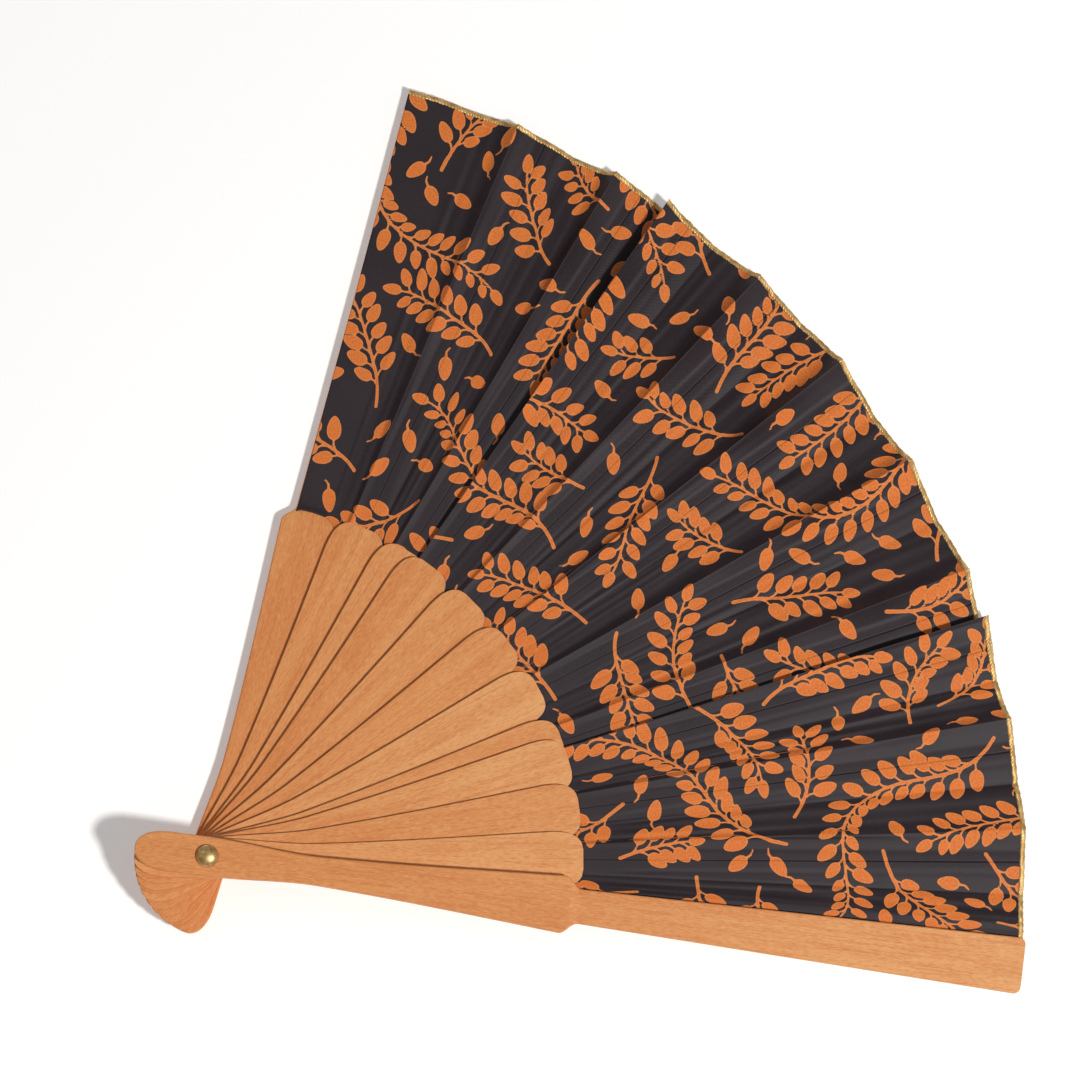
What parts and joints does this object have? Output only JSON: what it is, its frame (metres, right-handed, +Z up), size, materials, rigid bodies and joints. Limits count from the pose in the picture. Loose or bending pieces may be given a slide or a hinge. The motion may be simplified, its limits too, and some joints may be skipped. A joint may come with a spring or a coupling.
{
  "type": "folding fan",
  "caption": "Wooden folding fan with slim sticks turning on one domed rivet and a pleated, leaf-patterned cloth leaf edged in metallic ribbon, lying open.",
  "frame": {"origin": "middle of the underside of the open fan's box, on the surface that it lies on", "axes": "+Z up, away from the surface that the fan lies on; +X from the rivet towards the outer end of the front guard; +Y towards the outer end of the rear guard"},
  "size_m": [0.2278, 0.237, 0.0219],
  "materials": {
    "sandalwood": "satin",
    "cloth": "matte",
    "ribbon": "satin",
    "brass": "satin"
  },
  "bodies": {
    "rear_guard": {"rear_guard": "sandalwood", "rivet_shank": "brass", "rivet_head": "brass", "rivet_cap": "brass", "leaf_gore_01": "cloth", "edging_01": "ribbon"},
    "stick_01": {"stick_01": "sandalwood", "leaf_gore_02": "cloth", "edging_02": "ribbon"},
    "stick_02": {"stick_02": "sandalwood", "leaf_gore_03": "cloth", "edging_03": "ribbon"},
    "stick_03": {"stick_03": "sandalwood", "leaf_gore_04": "cloth", "edging_04": "ribbon"},
    "stick_04": {"stick_04": "sandalwood", "leaf_gore_05": "cloth", "edging_05": "ribbon"},
    "stick_05": {"stick_05": "sandalwood", "leaf_gore_06": "cloth", "edging_06": "ribbon"},
    "stick_06": {"stick_06": "sandalwood", "leaf_gore_07": "cloth", "edging_07": "ribbon"},
    "stick_07": {"stick_07": "sandalwood", "leaf_gore_08": "cloth", "edging_08": "ribbon"},
    "stick_08": {"stick_08": "sandalwood", "leaf_gore_09": "cloth", "edging_09": "ribbon"},
    "stick_09": {"stick_09": "sandalwood", "leaf_gore_10": "cloth", "edging_10": "ribbon"},
    "stick_10": {"stick_10": "sandalwood", "leaf_gore_11": "cloth", "edging_11": "ribbon"},
    "front_guard": {"front_guard": "sandalwood"}
  },
  "joints": [
    {"name": "fold", "type": "hinge", "parent": "rear_guard", "child": "stick_01", "pos_m": [-0.09624, -0.08474, 0.001], "axis": [0.0607, -0.0129, 0.9981], "range_deg": [-0.25, 8.4], "deforming": ["leaf_gore_01", "edging_01"]},
    {"name": "fold_02", "type": "hinge", "parent": "stick_01", "child": "stick_02", "pos_m": [-0.09624, -0.08474, 0.001], "axis": [0.0607, -0.0129, 0.9981], "range_deg": [-0.24, 7.81], "deforming": ["leaf_gore_02", "edging_02"]},
    {"name": "fold_03", "type": "hinge", "parent": "stick_02", "child": "stick_03", "pos_m": [-0.09624, -0.08474, 0.001], "axis": [0.0607, -0.0129, 0.9981], "range_deg": [-0.14, 4.21], "deforming": ["leaf_gore_03", "edging_03"]},
    {"name": "fold_04", "type": "hinge", "parent": "stick_03", "child": "stick_04", "pos_m": [-0.09624, -0.08474, 0.001], "axis": [0.0607, -0.0129, 0.9981], "range_deg": [-0.26, 8.51], "deforming": ["leaf_gore_04", "edging_04"]},
    {"name": "fold_05", "type": "hinge", "parent": "stick_04", "child": "stick_05", "pos_m": [-0.09624, -0.08474, 0.001], "axis": [0.0607, -0.0129, 0.9981], "range_deg": [-0.26, 8.41], "deforming": ["leaf_gore_05", "edging_05"]},
    {"name": "fold_06", "type": "hinge", "parent": "stick_05", "child": "stick_06", "pos_m": [-0.09624, -0.08474, 0.001], "axis": [0.0607, -0.0129, 0.9981], "range_deg": [-0.27, 8.71], "deforming": ["leaf_gore_06", "edging_06"]},
    {"name": "fold_07", "type": "hinge", "parent": "stick_06", "child": "stick_07", "pos_m": [-0.09624, -0.08474, 0.001], "axis": [0.0607, -0.0129, 0.9981], "range_deg": [-0.27, 8.81], "deforming": ["leaf_gore_07", "edging_07"]},
    {"name": "fold_08", "type": "hinge", "parent": "stick_07", "child": "stick_08", "pos_m": [-0.09624, -0.08474, 0.001], "axis": [0.0607, -0.0129, 0.9981], "range_deg": [-0.11, 3.51], "deforming": ["leaf_gore_08", "edging_08"]},
    {"name": "fold_09", "type": "hinge", "parent": "stick_08", "child": "stick_09", "pos_m": [-0.09624, -0.08474, 0.001], "axis": [0.0607, -0.0129, 0.9981], "range_deg": [-0.23, 7.51], "deforming": ["leaf_gore_09", "edging_09"]},
    {"name": "fold_10", "type": "hinge", "parent": "stick_09", "child": "stick_10", "pos_m": [-0.09624, -0.08474, 0.001], "axis": [0.0607, -0.0129, 0.9981], "range_deg": [-0.25, 7.91], "deforming": ["leaf_gore_10", "edging_10"]},
    {"name": "fold_11", "type": "hinge", "parent": "stick_10", "child": "front_guard", "pos_m": [-0.09624, -0.08474, 0.001], "axis": [0.0607, -0.0129, 0.9981], "range_deg": [-0.23, 7.41], "deforming": ["leaf_gore_11", "edging_11"]}
  ],
  "couplings": [
    {"joint": "fold_02", "follows": "fold", "ratio": 0.92857},
    {"joint": "fold_03", "follows": "fold", "ratio": 0.5},
    {"joint": "fold_04", "follows": "fold", "ratio": 1.0119},
    {"joint": "fold_05", "follows": "fold", "ratio": 1},
    {"joint": "fold_06", "follows": "fold", "ratio": 1.0357},
    {"joint": "fold_07", "follows": "fold", "ratio": 1.0476},
    {"joint": "fold_08", "follows": "fold", "ratio": 0.41667},
    {"joint": "fold_09", "follows": "fold", "ratio": 0.89286},
    {"joint": "fold_10", "follows": "fold", "ratio": 0.94048},
    {"joint": "fold_11", "follows": "fold", "ratio": 0.88095}
  ]
}
